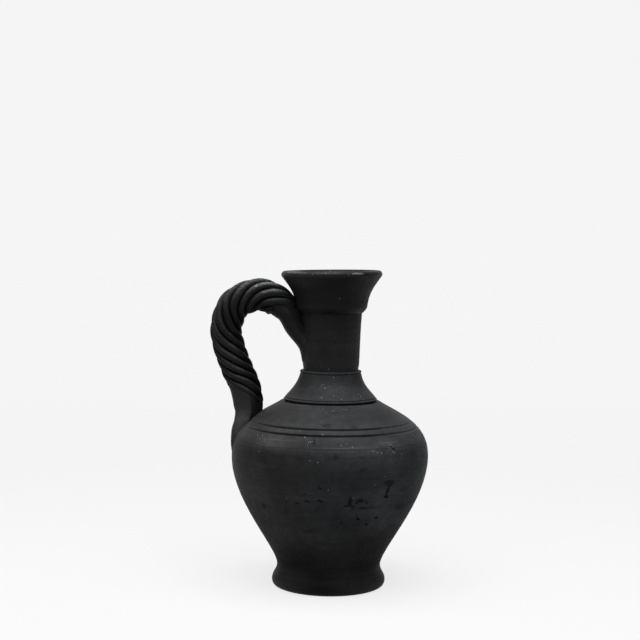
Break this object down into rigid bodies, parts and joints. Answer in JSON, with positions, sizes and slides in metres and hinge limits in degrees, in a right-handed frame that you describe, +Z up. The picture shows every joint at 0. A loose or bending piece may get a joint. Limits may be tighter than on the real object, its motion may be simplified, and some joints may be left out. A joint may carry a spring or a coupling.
{
  "type": "clay jug",
  "caption": "Unglazed black clay jug with a round body, slender collared neck, flared mouth and a twisted rope handle, for holding and pouring water or wine.",
  "frame": {"origin": "centre of the resting face under the foot, on the axis of the body", "axes": "+Z up along the axis of the body, -X towards the handle, Y across the handle"},
  "size_m": [0.1729, 0.155, 0.2499],
  "materials": {
    "smoked_clay": "matte, smoke black",
    "burnished_clay": "rubbed smooth, dark grey",
    "worn_clay": "worn pale on the edge",
    "rope_clay": "matte, pale on the ridges"
  },
  "bodies": {
    "root": {"foot": "smoked_clay", "body_bowl": "burnished_clay", "shoulder_dome": "burnished_clay", "neck_collar": "burnished_clay", "neck_tube": "smoked_clay", "mouth_flare": "smoked_clay", "rim_lip": "worn_clay", "handle_core": "rope_clay", "handle_strand_1": "rope_clay", "handle_strand_2": "rope_clay", "handle_strand_3": "rope_clay", "handle_strand_4": "rope_clay", "handle_strand_5": "rope_clay", "handle_strand_6": "rope_clay", "handle_strand_7": "rope_clay", "handle_strand_8": "rope_clay", "handle_root": "smoked_clay", "handle_tail": "burnished_clay"}
  },
  "joints": []
}
